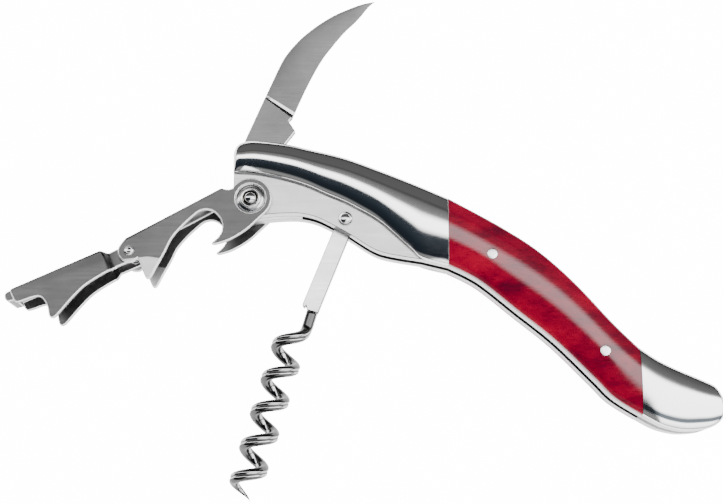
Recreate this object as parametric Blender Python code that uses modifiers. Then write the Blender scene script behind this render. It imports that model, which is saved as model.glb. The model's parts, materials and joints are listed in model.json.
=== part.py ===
"""Two-step lever corkscrew: a slim curved handle with a folding foil blade, a folding worm and a
folding two-step lever, modelled open and lying on its right side. Run it with
blender --background --python part.py, or from the text editor. The scene is in metres, +Z up."""

import math

import bmesh
import bpy
from mathutils import Vector

# Driving dimensions, in millimetres and degrees. The design frame has its origin on the lever's
# pivot, halfway through the handle's thickness. +X runs towards the tail of the handle, +Y to its
# back, where the blade folds in, and +Z out of its left side.
MM = 0.001

FRONT_BOLSTER_LENGTH = 46.9
SCALE_LENGTH = 40.1
REAR_BOLSTER_LENGTH = 17.5
HANDLE_FRONT = -3.9
SLOT_WIDTH = 2.4
LINER_THICKNESS = 2.7
PAD_HEIGHT = 2.5
PAD_WALL = 0.9
FIXED_GAP = 0.1
MOVING_GAP = 0.2
PIN_GAP = 0.1
SPRING_RECESS = 1.0
SPRING_SPLIT = 0.62
SPRING_NOSE = (-26.5, -15.0)
SPACER_END = 11.1
SPACER_END_HEIGHT = 2.5
KICK_GAP = 0.5

LEVER_PLATE = 1.2
LEVER_OPEN = 28.7
LEVER_EAR_RADIUS = 4.6
LEVER_WEB_TOP = 5.15
KNEE_REACH = 28.4
KNEE_RISE = 2.1
KNEE_EAR_RADIUS = 2.5
KNEE_OPEN = -4.3
WEB_END = 4.5
STEP_LENGTH = 26.6
STEP_WEB_TOP = 2.8
LIP_LENGTH = 1.8
LIP_FACE = 4.0
JOGGLE_START = 4.7
JOGGLE_LENGTH = 1.1

BLADE_PIVOT = (0.6, 9.3)
BLADE_OPEN = 67.0
BLADE_FOLDED = -15.0
BLADE_GAP = 0.3
BLADE_LENGTH = 46.6
BLADE_SPINE = 4.4
TANG_RADIUS = 3.5
TANG_START = 250.0
TANG_END = 110.0

WORM_PIVOT = (20.7, -4.3)
WORM_OPEN = -16.5
SHANK_WIDTH = 3.9
SHANK_LENGTH = 21.2
HELIX_OFFSET = -3.9
HELIX_DIAMETER = 7.8
HELIX_PITCH = 7.5
HELIX_TURNS = 4.92
WIRE_DIAMETER = 2.5
WIRE_LEAD = 5.4
WIRE_EASE = 0.3
WORM_TAPER_TURNS = 0.5
TIP_RADIUS_SHARE = 0.12
TIP_INSET = 0.2
HELIX_SIDES = 18

LEVER_RIVET_RADIUS = 1.5
LEVER_RIVET_LIP = 0.6
WASHER_RADIUS = 2.9
WASHER_THICKNESS = 0.45
BUSH_WALL = 0.6
KNEE_RIVET_RADIUS = 0.8
KNEE_RIVET_HEAD = 1.15
WORM_RIVET_RADIUS = 1.0
WORM_RIVET_HEAD = 1.6
BLADE_PIN_RADIUS = 1.2
SCALE_PIN_RADIUS = 1.1
FRAME_PIN_RADIUS = 1.0
RIVET_HEAD_HEIGHT = 0.5

ROUND_SIDES = 24
SPLINE_STEPS = 2

# Levels through the thickness, from the middle outwards.
SLOT_FACE = SLOT_WIDTH / 2
BLADE_FACE = SLOT_FACE - BLADE_GAP
SHANK_FACE = SLOT_FACE - MOVING_GAP
LINER_FACE = SLOT_FACE + LINER_THICKNESS
PAD_BASE = LINER_FACE + FIXED_GAP
PAD_FACE = PAD_BASE + PAD_HEIGHT
LEVER_INNER = LINER_FACE + MOVING_GAP
LEVER_OUTER = LEVER_INNER + LEVER_PLATE
EAR_OUTER = LEVER_INNER - PIN_GAP
EAR_INNER = EAR_OUTER - LEVER_PLATE

FRONT_END = HANDLE_FRONT + FRONT_BOLSTER_LENGTH
SCALE_END = FRONT_END + SCALE_LENGTH

# The handle's edges: (share of the section's length, height).
BOLSTER_BACK = [(0.0, 10.6), (0.018, 12.2), (0.055, 13.0), (0.12, 13.1), (0.25, 12.4), (0.35, 11.3),
                (0.52, 9.3), (0.69, 6.3), (0.85, 3.2), (1.0, 0.1)]
SCALE_BACK = [(0.0, 0.1), (0.27, -6.0), (0.48, -11.6), (0.67, -18.6), (0.87, -27.6), (1.0, -32.9)]
REAR_BACK = [(0.0, -32.9), (0.19, -35.2), (0.37, -36.9), (0.55, -38.3), (0.75, -39.8),
             (0.9, -41.2), (0.985, -43.6)]
BOLSTER_EDGE = [(0.0, 6.1), (0.13, 5.6), (0.26, 4.2), (0.35, 2.8), (0.43, 1.1), (0.52, -0.7),
                (0.6, -2.7), (0.68, -5.0), (0.76, -8.3), (0.83, -11.3), (0.88, -13.3), (1.0, -14.8)]
LINER_EDGE = [(0.13, -3.5), (0.18, -3.2), (0.25, -3.0), (0.32, -3.1), (0.39, -3.9), (0.46, -5.5),
              (0.54, -7.6), (0.65, -10.9), (0.73, -12.2), (0.88, -13.4)]
SCALE_UNDER = [(0.0, -14.8), (0.16, -18.2), (0.36, -24.7), (0.56, -31.3), (0.76, -39.4),
               (0.86, -43.5), (1.0, -47.1)]
REAR_UNDER = [(0.0, -47.1), (0.14, -48.5), (0.27, -49.5), (0.44, -50.2), (0.6, -50.3), (0.78, -49.9),
              (0.9, -48.9), (0.97, -47.5), (1.0, -45.8)]

# The under edge of the spring's arm, behind and ahead of the worm's shank, and its thickness at
# each point.
SPRING_ARM_ROOT = [(38.5, -12.3), (31.0, -8.3), (25.5, -4.2)]
SPRING_ARM_FRONT = [(15.5, -0.9), (13.0, -0.9)]
SPRING_ARM = [1.5, 1.4, 1.3, 1.1, 1.0, 1.0]

# Outlines in each piece's own frame, with its pivot at the origin. The lever's two steps lie
# along -X with their webs on top, and the blade lies along +X with its spine on top.
LEVER_UNDERSIDE = [(0.97, -0.2), (0.97, -1.3), (0.975, -2.2), (0.98, -5.0), (0.94, -5.2),
                   (0.86, -3.6), (0.765, -1.8), (0.67, 0.2), (0.56, 1.5), (0.465, 2.3)]
CROWN_NOTCH = [(0.391, 2.7), (0.331, 2.2), (0.292, 0.9), (0.278, -1.0), (0.292, -2.6),
               (0.324, -3.8), (0.373, -4.5), (0.423, -4.8)]
LEVER_CHIN = [(0.394, -5.6), (0.292, -6.1), (0.155, -5.9), (0.042, -5.1)]
LEVER_NECK = [(-3.4, 4.15), (-4.8, LEVER_WEB_TOP)]
STEP_UNDERSIDE = [(0.19, -2.2), (0.30, -2.5), (0.44, -3.2), (0.56, -4.5), (0.68, -6.1),
                  (0.74, -6.8), (0.775, -6.8), (0.785, -6.0), (0.77, -3.9), (0.78, -2.2),
                  (0.805, -1.3), (0.865, -0.9), (0.93, -0.8), (0.985, -0.5), (1.0, 0.4)]
BLADE_TOP = [(0.09, 1.0), (0.31, 1.01), (0.47, 1.01), (0.54, 0.98), (0.61, 0.83), (0.69, 0.53)]
BLADE_NOSE = [(0.77, 0.4), (0.845, -1.9), (0.91, -4.5), (0.96, -6.8)]
BLADE_TIP_DROP = -9.3
BLADE_EDGE = [(0.96, -8.4), (0.88, -7.4), (0.785, -5.7), (0.7, -4.6), (0.61, -3.7), (0.47, -3.2),
              (0.3, -3.15)]
BLADE_HEEL = [(0.267, -2.7), (0.258, -2.9), (0.225, -5.1), (0.148, -4.2)]


def add_collection(name):
    collection = bpy.data.collections.new(name)
    bpy.context.scene.collection.children.link(collection)
    return collection


def clear_scene():
    for old in list(bpy.data.objects):
        bpy.data.objects.remove(old, do_unlink=True)


def material(name, colour, roughness, metallic):
    made = bpy.data.materials.new(name)
    made.use_nodes = True
    shader = made.node_tree.nodes["Principled BSDF"]
    shader.inputs["Base Color"].default_value = (*colour, 1.0)
    shader.inputs["Roughness"].default_value = roughness
    shader.inputs["Metallic"].default_value = metallic
    return made


def steel(name, grey=0.62, roughness=0.25):
    return material(name, (grey, grey, grey), roughness, 1.0)


def empty(name, parent, place=(0.0, 0.0), turn=0.0):
    made = bpy.data.objects.new(name, None)
    parts.objects.link(made)
    made.parent = parent
    made.location = (place[0] * MM, place[1] * MM, 0.0)
    made.rotation_euler = (0.0, 0.0, math.radians(turn))
    return made


def section_points(start, length, outline):
    """The points of a list of (share of the length, height), from a section's start."""
    return [(start + share * length, height) for share, height in outline]


def smooth(points, steps=SPLINE_STEPS):
    """The points of a Catmull-Rom curve through a list of points."""
    ends = [points[0], *points, points[-1]]
    made = []
    for a, b, c, d in zip(ends, ends[1:], ends[2:], ends[3:]):
        for step in range(steps):
            t = step / steps
            made.append(tuple(
                0.5 * (2 * q + (r - p) * t + (2 * p - 5 * q + 4 * r - s) * t * t
                       + (3 * q - p - 3 * r + s) * t ** 3)
                for p, q, r, s in zip(a, b, c, d)))
    made.append(points[-1])
    return made


def arc(centre, radius, start, end, sides):
    """Points along an arc, from one angle to another in degrees."""
    made = []
    for step in range(sides + 1):
        angle = math.radians(start + (end - start) * step / sides)
        made.append((centre[0] + radius * math.cos(angle), centre[1] + radius * math.sin(angle)))
    return made


def plate(name, outlines, low, high, parent, look):
    """A flat plate between two levels. The first outline is its edge and the others are holes."""
    curve = bpy.data.curves.new(name, "CURVE")
    curve.dimensions = "2D"
    curve.fill_mode = "BOTH"
    curve.extrude = (high - low) / 2 * MM
    for outline in outlines:
        spline = curve.splines.new("POLY")
        spline.points.add(len(outline) - 1)
        spline.use_cyclic_u = True
        for point, (x, y) in zip(spline.points, outline):
            point.co = (x * MM, y * MM, 0.0, 1.0)
    made = bpy.data.objects.new(name, curve)
    parts.objects.link(made)
    made.parent = parent
    made.location = (0.0, 0.0, (low + high) / 2 * MM)
    curve.materials.append(look)
    return as_mesh(made)


def as_mesh(source):
    """Turn a curve object into a closed mesh object with the same name and place."""
    bpy.context.view_layer.update()
    name, look, world = source.name, source.data.materials[0], source.matrix_world.copy()
    parent, collection = source.parent, source.users_collection[0]
    seen = source.evaluated_get(bpy.context.evaluated_depsgraph_get())
    mesh = bpy.data.meshes.new_from_object(seen)
    bpy.data.objects.remove(source, do_unlink=True)
    mesh.name = name
    welded = bmesh.new()
    welded.from_mesh(mesh)
    bmesh.ops.remove_doubles(welded, verts=welded.verts, dist=1e-6)
    bmesh.ops.recalc_face_normals(welded, faces=welded.faces)
    welded.to_mesh(mesh)
    welded.free()
    mesh.materials.clear()
    mesh.materials.append(look)
    made = bpy.data.objects.new(name, mesh)
    collection.objects.link(made)
    made.parent = parent
    made.matrix_world = world
    return made


def cutter(made):
    """Move a solid to the cutters and hide it."""
    for owner in made.users_collection:
        owner.objects.unlink(made)
    cutters.objects.link(made)
    made.hide_render = True
    made.display_type = "WIRE"
    return made


def combine(target, tool, operation="DIFFERENCE"):
    boolean = target.modifiers.new(tool.name, "BOOLEAN")
    boolean.operation = operation
    boolean.solver = "EXACT"
    boolean.object = cutter(tool)


def cylinder(name, radius, low, high, parent, look=None, place=(0.0, 0.0)):
    """A cylinder along Z between two levels."""
    mesh = bpy.data.meshes.new(name)
    body = bmesh.new()
    bmesh.ops.create_cone(body, cap_ends=True, segments=ROUND_SIDES, radius1=radius * MM,
                          radius2=radius * MM, depth=(high - low) * MM)
    body.to_mesh(mesh)
    body.free()
    made = bpy.data.objects.new(name, mesh)
    parts.objects.link(made)
    made.parent = parent
    made.location = (place[0] * MM, place[1] * MM, (low + high) / 2 * MM)
    if look:
        mesh.materials.append(look)
    return made


def turned(name, profile, parent, look, place=(0.0, 0.0)):
    """A turned solid: a profile of (radius, level), from the top of its axis down to the bottom,
    swept round Z with a Screw modifier."""
    mesh = bpy.data.meshes.new(name)
    points = [(radius * MM, 0.0, level * MM) for radius, level in profile]
    mesh.from_pydata(points, [(i, i + 1) for i in range(len(points) - 1)], [])
    mesh.materials.append(look)
    made = bpy.data.objects.new(name, mesh)
    parts.objects.link(made)
    made.parent = parent
    made.location = (place[0] * MM, place[1] * MM, 0.0)
    screw = made.modifiers.new("turn", "SCREW")
    screw.steps = screw.render_steps = ROUND_SIDES
    screw.use_merge_vertices = True
    screw.merge_threshold = 1e-6
    screw.use_smooth_shade = True
    return made


def rivet_profile(radius, head_radius, seat, head_height):
    """Half the profile of a rivet with a domed head above each seat, and its mirror below."""
    top = [(0.0, seat + head_height), (head_radius * 0.5, seat + head_height * 0.87),
           (head_radius * 0.85, seat + head_height * 0.5), (head_radius, seat), (radius, seat)]
    return top + [(r, -level) for r, level in reversed(top)]


def crown(across):
    """The share of a pad's swell at a place across it: flat along the middle, round to the edges."""
    flat = 0.22
    slope = max(0.0, abs(2 * across - 1) - flat) / (1 - flat)
    return math.sqrt(max(0.0, 1 - slope ** 2))


def pad(name, back, under, side, parent, look, round_ends=(0.0, 0.0)):
    """A crowned pad on one side of the handle, lofted between its back edge and its under edge.
    side is 1 on the left and -1 on the right. round_ends are the shares of its length over
    which its swell rises from each end."""
    stations = 14
    places = [0.0, 0.04, 0.13, 0.25, 0.39, 0.61, 0.75, 0.87, 0.96, 1.0]
    mesh = bpy.data.meshes.new(name)
    body = bmesh.new()
    rows = []
    for station in range(stations + 1):
        along = station / stations
        top, bottom = at_share(back, along), at_share(under, along)
        rise = end_rise(along, round_ends)
        row = []
        for across in places:
            x, y = (b + (t - b) * across for t, b in zip(top, bottom))
            height = PAD_BASE + PAD_WALL + (PAD_HEIGHT - PAD_WALL) * crown(across) * rise
            row.append(body.verts.new((x * MM, y * MM, side * height * MM)))
        rows.append(row)
    for first, second in zip(rows, rows[1:]):
        for a, b, c, d in zip(first, first[1:], second[1:], second):
            body.faces.new((a, b, c, d))
    rim = rows[0] + [row[-1] for row in rows[1:]] + rows[-1][-2::-1] + [r[0] for r in rows[-2:0:-1]]
    base = [body.verts.new((v.co.x, v.co.y, side * PAD_BASE * MM)) for v in rim]
    for i, vertex in enumerate(rim):
        after = (i + 1) % len(rim)
        body.faces.new((vertex, rim[after], base[after], base[i]))
    body.faces.new(base)
    bmesh.ops.recalc_face_normals(body, faces=body.faces)
    body.to_mesh(mesh)
    body.free()
    mesh.materials.append(look)
    mesh.shade_smooth()
    mesh.set_sharp_from_angle(angle=math.radians(40))
    made = bpy.data.objects.new(name, mesh)
    parts.objects.link(made)
    made.parent = parent
    return made


def end_rise(along, round_ends):
    start, end = round_ends
    rise = 1.0
    if start and along < start:
        rise = min(rise, math.sqrt(1 - (1 - along / start) ** 2))
    if end and along > 1 - end:
        rise = min(rise, math.sqrt(max(0.0, 1 - ((along - 1 + end) / end) ** 2)))
    return rise


def at_share(points, share):
    """The point at a share of a polyline's length."""
    lengths = [math.dist(a, b) for a, b in zip(points, points[1:])]
    left = share * sum(lengths)
    for (a, b), length in zip(zip(points, points[1:]), lengths):
        if left <= length:
            t = left / length
            return tuple(p + (q - p) * t for p, q in zip(a, b))
        left -= length
    return points[-1]


def handle_edges():
    """The back edge and the under edge of each of the handle's three sections."""
    spans = {"front": (HANDLE_FRONT, FRONT_BOLSTER_LENGTH), "scale": (FRONT_END, SCALE_LENGTH),
             "rear": (SCALE_END, REAR_BOLSTER_LENGTH)}
    shapes = {"front": (BOLSTER_BACK, BOLSTER_EDGE), "scale": (SCALE_BACK, SCALE_UNDER),
              "rear": (REAR_BACK, REAR_UNDER)}
    return {key: tuple(smooth(section_points(*spans[key], line)) for line in shapes[key])
            for key in spans}


def inset(line, end, amount):
    """Move the first or last point of a line inwards along X, to leave a gap at a joint."""
    moved = list(line)
    x, y = moved[end]
    moved[end] = (x + (amount if end == 0 else -amount), y)
    return moved


def liner_outline(edges):
    back = edges["front"][0] + edges["scale"][0][1:] + edges["rear"][0][1:]
    under = smooth(section_points(HANDLE_FRONT, FRONT_BOLSTER_LENGTH, LINER_EDGE))
    under += edges["scale"][1] + edges["rear"][1][1:]
    front = arc((0.0, 0.0), -HANDLE_FRONT, 180, 290, 8)
    return back + under[::-1] + front[::-1]


def pin_places():
    """Where the pins pass through the handle, by node name: (x, y) and radius."""
    scale_front = (FRONT_END + 0.232 * SCALE_LENGTH, -12.7)
    scale_rear = (FRONT_END + 0.815 * SCALE_LENGTH, -33.7)
    frame = (SCALE_END + 0.42 * REAR_BOLSTER_LENGTH, -43.2)
    return {"scale_pin_front": (scale_front, SCALE_PIN_RADIUS),
            "scale_pin_rear": (scale_rear, SCALE_PIN_RADIUS),
            "frame_pin": (frame, FRAME_PIN_RADIUS),
            "blade_pivot_pin": (BLADE_PIVOT, BLADE_PIN_RADIUS),
            "worm_rivet": (WORM_PIVOT, WORM_RIVET_RADIUS),
            "lever_rivet": ((0.0, 0.0), LEVER_RIVET_RADIUS + BUSH_WALL + PIN_GAP)}


def hole(place, radius):
    return arc(place, radius + PIN_GAP, 0, 360 - 360 / ROUND_SIDES, ROUND_SIDES - 1)


def build_liners(edges):
    outline = liner_outline(edges)
    holes = [hole(*spot) for spot in pin_places().values()]
    for name, low, high in (("left_liner", SLOT_FACE, LINER_FACE),
                            ("right_liner", -LINER_FACE, -SLOT_FACE)):
        plate(name, [outline, *holes], low, high, root, looks["liner"])


def build_pads(edges):
    joint = FIXED_GAP / 2
    trims = {"front": (0.0, joint), "scale": (joint, joint), "rear": (joint, 0.0)}
    kinds = {"front": ("front_bolster", "bolster", (0.06, 0.0)), "scale": ("scale", "scale", (0.0, 0.0)),
             "rear": ("rear_bolster", "bolster", (0.0, 0.45))}
    pins = pin_places()
    for key, (label, look, round_ends) in kinds.items():
        lines = [inset(inset(line, 0, trims[key][0]), -1, trims[key][1]) for line in edges[key]]
        for prefix, side in (("left_", 1), ("right_", -1)):
            made = pad(prefix + label, *lines, side, root, looks[look], round_ends)
            if key == "scale":
                for pin in ("scale_pin_front", "scale_pin_rear"):
                    place, radius = pins[pin]
                    combine(made, cylinder(f"{prefix}{pin}_hole", radius + PIN_GAP,
                                           -2 * PAD_FACE, 2 * PAD_FACE, root, None, place))


def recessed(line, shares, amount):
    """Points at shares of the scale's length along one of its edges, moved in by an amount."""
    return [lowered(point_at_x(line, FRONT_END + share * SCALE_LENGTH), amount) for share in shares]


def slot_plate(name, outline, pins):
    """A plate that fills the slot between the liners, with a hole for each pin through it."""
    half = SLOT_FACE - FIXED_GAP
    holes = [hole(*pin_places()[pin]) for pin in pins]
    plate(name, [outline, *holes], -half, half, root, looks["spring"])


def build_spring(edges):
    """The back spring's block fills the slot behind the folded blade's tip. Its arm runs forward
    below the folded blade and above the worm's shank, and gets thinner towards its front."""
    back, under = edges["scale"]
    front = arc(BLADE_PIVOT, blade_radius() + MOVING_GAP, *SPRING_NOSE, 4)
    first = (front[-1][0] + MOVING_GAP - FRONT_END) / SCALE_LENGTH
    top = recessed(back, spread(first, SPRING_SPLIT, 6), SPRING_RECESS)
    bottom = recessed(under, spread(SPRING_SPLIT, 0.05, 6), -SPRING_RECESS)
    over_shank = WORM_PIVOT[1] + SHANK_WIDTH / 2 + MOVING_GAP
    arm_under = SPRING_ARM_ROOT + [(WORM_PIVOT[0] + 0.6, over_shank)] + SPRING_ARM_FRONT
    arm_over = [(x, y + thickness) for (x, y), thickness in zip(arm_under, SPRING_ARM)][::-1]
    slot_plate("back_spring", top + bottom + arm_under + arm_over + front, ["scale_pin_front"])


def build_tail_spacer(edges):
    """The tail spacer fills the slot behind the spring. It comes flush with the handle's
    underside below the rear bolsters."""
    start = SPRING_SPLIT + FIXED_GAP / SCALE_LENGTH
    top = recessed(edges["scale"][0], spread(start, 0.97, 5), SPRING_RECESS)
    top += [lowered(point, SPRING_RECESS) for point in edges["rear"][0][:-2]]
    bottom = recessed(edges["scale"][1], spread(start, 1.0, 5), -SPRING_RECESS)
    bottom += edges["rear"][1]
    slot_plate("tail_spacer", top + bottom[::-1], ["scale_pin_rear", "frame_pin"])


def build_front_spacer():
    """The front spacer closes the slot's underside ahead of the worm. The lever's bush goes
    through it, and its top runs just below the heel of the folded blade."""
    folded = math.radians(BLADE_FOLDED)
    heel = [(share * BLADE_LENGTH, y) for share, y in BLADE_HEEL[-2:]]
    heel += arc((0.0, 0.0), TANG_RADIUS, TANG_START, TANG_START, 1)[:1]
    top = [(BLADE_PIVOT[0] + x * math.cos(folded) - y * math.sin(folded),
            BLADE_PIVOT[1] + x * math.sin(folded) + y * math.cos(folded) - KICK_GAP)
           for x, y in heel]
    edge = smooth(section_points(HANDLE_FRONT, FRONT_BOLSTER_LENGTH, LINER_EDGE))
    bottom = [point for point in edge if point[0] < SPACER_END]
    bottom.append(point_at_x(edge, SPACER_END))
    rise = bottom[-1][1] + SPACER_END_HEIGHT
    front = arc((0.0, 0.0), -HANDLE_FRONT, 180, 290, 8)
    outline = front + bottom + [(SPACER_END, rise)] + top + [(HANDLE_FRONT, top[-1][1])]
    slot_plate("front_spacer", outline, ["lever_rivet"])


def spread(start, end, count):
    return [start + (end - start) * i / (count - 1) for i in range(count)]


def lowered(point, amount):
    return (point[0], point[1] - amount)


def point_at_x(line, x):
    for a, b in zip(line, line[1:]):
        if a[0] <= x <= b[0]:
            t = (x - a[0]) / (b[0] - a[0])
            return (x, a[1] + (b[1] - a[1]) * t)
    return line[-1] if x > line[-1][0] else line[0]


def blade_radius():
    return math.hypot(BLADE_LENGTH, BLADE_TIP_DROP)


def build_pins():
    pins = pin_places()
    for name, level in (("scale_pin_front", PAD_FACE), ("scale_pin_rear", PAD_FACE),
                        ("frame_pin", LINER_FACE), ("blade_pivot_pin", LINER_FACE)):
        place, radius = pins[name]
        cylinder(name, radius, -level, level, root, looks["pin"], place)
    profile = rivet_profile(WORM_RIVET_RADIUS, WORM_RIVET_HEAD, LINER_FACE + FIXED_GAP,
                            RIVET_HEAD_HEIGHT)
    turned("worm_rivet", profile, root, looks["pin"], WORM_PIVOT)


def build_blade():
    frame = empty("blade_pivot", root, BLADE_PIVOT, BLADE_OPEN)
    spine = [(share * BLADE_LENGTH, part * BLADE_SPINE) for share, part in BLADE_TOP]
    nose = [(share * BLADE_LENGTH, y) for share, y in BLADE_NOSE]
    edge = [(share * BLADE_LENGTH, y) for share, y in BLADE_EDGE]
    heel = [(share * BLADE_LENGTH, y) for share, y in BLADE_HEEL]
    tip = (BLADE_LENGTH, BLADE_TIP_DROP)
    tang = arc((0.0, 0.0), TANG_RADIUS, TANG_START, TANG_END, 10)
    outline = smooth(spine + nose + [tip]) + smooth([tip] + edge)[1:] + heel + tang
    plate("foil_blade", [outline, hole((0.0, 0.0), BLADE_PIN_RADIUS)], -BLADE_FACE, BLADE_FACE,
          frame, looks["blade"])


def channel(name, outline, holes, web_span, web_top, parent, lip=False):
    """A folded channel: two plates with one outline, joined by a web along their top edge. With a
    lip, a wall closes the channel from the web's end on."""
    made = plate(name, [outline, *holes], -LEVER_OUTER, LEVER_OUTER, parent, looks["lever"])
    start, end = web_span
    far = 4 * KNEE_REACH
    web_under = web_top - LEVER_PLATE
    inner = [(far, -far), (far, far), (start, far), (start, web_under), (end, web_under)]
    inner += [(end, -far)] if lip else [(end, far), (-far, far), (-far, -far)]
    combine(made, plate(name + "_inside", [inner], -LEVER_INNER, LEVER_INNER, parent, looks["lever"]))
    return made


def build_upper_lever():
    frame = empty("lever_pivot", hub, (0.0, 0.0), LEVER_OPEN)
    knee = (-KNEE_REACH, KNEE_RISE)
    under, notch, chin = ([(-share * KNEE_REACH, y) for share, y in line]
                          for line in (LEVER_UNDERSIDE, CROWN_NOTCH, LEVER_CHIN))
    ear = arc((0.0, 0.0), LEVER_EAR_RADIUS, -78, 118, 14)
    knee_ear = arc(knee, KNEE_EAR_RADIUS, 128, 262, 8)
    outline = (ear + LEVER_NECK + [(knee[0] + 0.4, LEVER_WEB_TOP)] + knee_ear + under[:4]
               + smooth(under[4:]) + smooth(notch) + smooth(chin))
    holes = [hole((0.0, 0.0), LEVER_RIVET_RADIUS), hole(knee, KNEE_RIVET_RADIUS)]
    channel("upper_lever", outline, holes, (LEVER_NECK[-1][0], knee[0] + WEB_END), LEVER_WEB_TOP, frame)
    return frame


def build_lower_lever(lever_frame):
    frame = empty("knee_pivot", lever_frame, (-KNEE_REACH, KNEE_RISE), KNEE_OPEN)
    under = [(-share * STEP_LENGTH, y) for share, y in STEP_UNDERSIDE]
    end = -STEP_LENGTH - LIP_LENGTH
    nose = [(end + 0.3, STEP_WEB_TOP - 2.1), (end, STEP_WEB_TOP - 1.4), (end + 0.1, STEP_WEB_TOP - 0.6),
            (end + 0.8, STEP_WEB_TOP)]
    outline = [(-JOGGLE_START, -1.9)] + smooth(under) + nose + [(-JOGGLE_START, STEP_WEB_TOP)]
    made = channel("lower_lever", outline, [], (-JOGGLE_START - JOGGLE_LENGTH, -STEP_LENGTH),
                   STEP_WEB_TOP, frame, True)
    beside_lip = [(-STEP_LENGTH, -KNEE_REACH), (-STEP_LENGTH, KNEE_REACH), (2 * end, KNEE_REACH),
                  (2 * end, -KNEE_REACH)]
    for prefix, low, high in (("left", LIP_FACE, PAD_FACE), ("right", -PAD_FACE, -LIP_FACE)):
        combine(made, plate(f"{prefix}_of_lip", [beside_lip], low, high, frame, looks["lever"]))
    ear_top = STEP_WEB_TOP - 1.0
    ear = arc((0.0, 0.0), KNEE_EAR_RADIUS - 0.6, -95, 95, 12)
    ear_outline = ear + [(-JOGGLE_START - 0.6, ear_top), (-JOGGLE_START - 0.6, -1.8)]
    step = [(-JOGGLE_START, -1.9), (-JOGGLE_START, ear_top), (-JOGGLE_START - JOGGLE_LENGTH, ear_top),
            (-JOGGLE_START - JOGGLE_LENGTH, -1.95)]
    for prefix, side in (("left", 1), ("right", -1)):
        low, high = sorted((side * EAR_INNER, side * EAR_OUTER))
        tab = plate(f"{prefix}_knee_tab", [ear_outline, hole((0.0, 0.0), KNEE_RIVET_RADIUS)],
                    low, high, frame, looks["lever"])
        combine(made, tab, "UNION")
        low, high = sorted((side * EAR_INNER, side * (LEVER_INNER + LEVER_PLATE / 2)))
        joggle = plate(f"{prefix}_joggle", [step], low, high, frame, looks["lever"])
        combine(made, joggle, "UNION")
    return frame


def build_lever_rivets(lever_frame):
    """The lever's rivet turns with the hub, on a bush through the liners. The knee rivet joins the
    two steps."""
    seat = LEVER_OUTER + MOVING_GAP / 2 + WASHER_THICKNESS + FIXED_GAP / 2
    turned("lever_rivet", rivet_profile(LEVER_RIVET_RADIUS, LEVER_RIVET_RADIUS + LEVER_RIVET_LIP, seat,
                                        RIVET_HEAD_HEIGHT), hub, looks["pin"])
    bore = LEVER_RIVET_RADIUS + PIN_GAP
    for name, side in (("left_lever_washer", 1), ("right_lever_washer", -1)):
        low, high = sorted((side * (LEVER_OUTER + MOVING_GAP / 2),
                            side * (LEVER_OUTER + MOVING_GAP / 2 + WASHER_THICKNESS)))
        plate(name, [arc((0, 0), WASHER_RADIUS, 0, 345, ROUND_SIDES - 1),
                     arc((0, 0), bore, 0, 345, ROUND_SIDES - 1)], low, high, hub, looks["pin"])
    plate("lever_bush", [arc((0, 0), LEVER_RIVET_RADIUS + PIN_GAP + BUSH_WALL, 0, 345, ROUND_SIDES - 1),
                         arc((0, 0), bore, 0, 345, ROUND_SIDES - 1)],
          -LINER_FACE, LINER_FACE, hub, looks["bush"])
    turned("knee_rivet", rivet_profile(KNEE_RIVET_RADIUS, KNEE_RIVET_HEAD, LEVER_OUTER + FIXED_GAP,
                                       RIVET_HEAD_HEIGHT), lever_frame, looks["pin"],
           (-KNEE_REACH, KNEE_RISE))


def helix_points():
    """The wire's centre line, down from the shank and easing into its turns round the helix's axis,
    with its radius at each point as a share of the full wire."""
    radius = (HELIX_DIAMETER - WIRE_DIAMETER) / 2
    start = -SHANK_LENGTH - FIXED_GAP
    points = [((HELIX_OFFSET + radius, start, 0.0), 1.0)]
    for step in range(round((HELIX_TURNS + WIRE_EASE) * HELIX_SIDES) + 1):
        turn = step / HELIX_SIDES - WIRE_EASE
        eased = (turn + WIRE_EASE) ** 2 / (4 * WIRE_EASE) if turn < WIRE_EASE else turn
        angle = 2 * math.pi * eased
        taper = min(1.0, (HELIX_TURNS - turn) / WORM_TAPER_TURNS)
        share = max(TIP_RADIUS_SHARE, taper)
        reach = radius * (1 - TIP_INSET * (1 - taper))
        points.append(((HELIX_OFFSET + reach * math.cos(angle), start - WIRE_LEAD - HELIX_PITCH * turn,
                        reach * math.sin(angle)), share))
    return points


def build_worm():
    frame = empty("worm_pivot", root, WORM_PIVOT, WORM_OPEN)
    half = SHANK_WIDTH / 2
    radius = (HELIX_DIAMETER - WIRE_DIAMETER) / 2
    exit_x = HELIX_OFFSET + radius
    right = exit_x + WIRE_DIAMETER / 2 + 0.1
    outline = arc((0.0, 0.0), half, -8, 188, 10)
    outline += [(right - SHANK_WIDTH, -SHANK_LENGTH + 0.3), (right - SHANK_WIDTH + 0.9, -SHANK_LENGTH + 1.0),
                (exit_x - WIRE_DIAMETER / 2, -SHANK_LENGTH), (right, -SHANK_LENGTH)]
    plate("worm_shank", [outline, hole((0.0, 0.0), WORM_RIVET_RADIUS)], -SHANK_FACE,
          SHANK_FACE, frame, looks["shank"])
    curve = bpy.data.curves.new("worm_wire", "CURVE")
    curve.dimensions = "3D"
    curve.bevel_depth = WIRE_DIAMETER / 2 * MM
    curve.bevel_resolution = 2
    curve.use_fill_caps = True
    points = helix_points()
    spline = curve.splines.new("POLY")
    spline.points.add(len(points) - 1)
    for point, ((x, y, z), share) in zip(spline.points, points):
        point.co = (x * MM, y * MM, z * MM, 1.0)
        point.radius = share
    curve.materials.append(looks["worm"])
    wire = bpy.data.objects.new("worm_wire", curve)
    parts.objects.link(wire)
    wire.parent = frame


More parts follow.
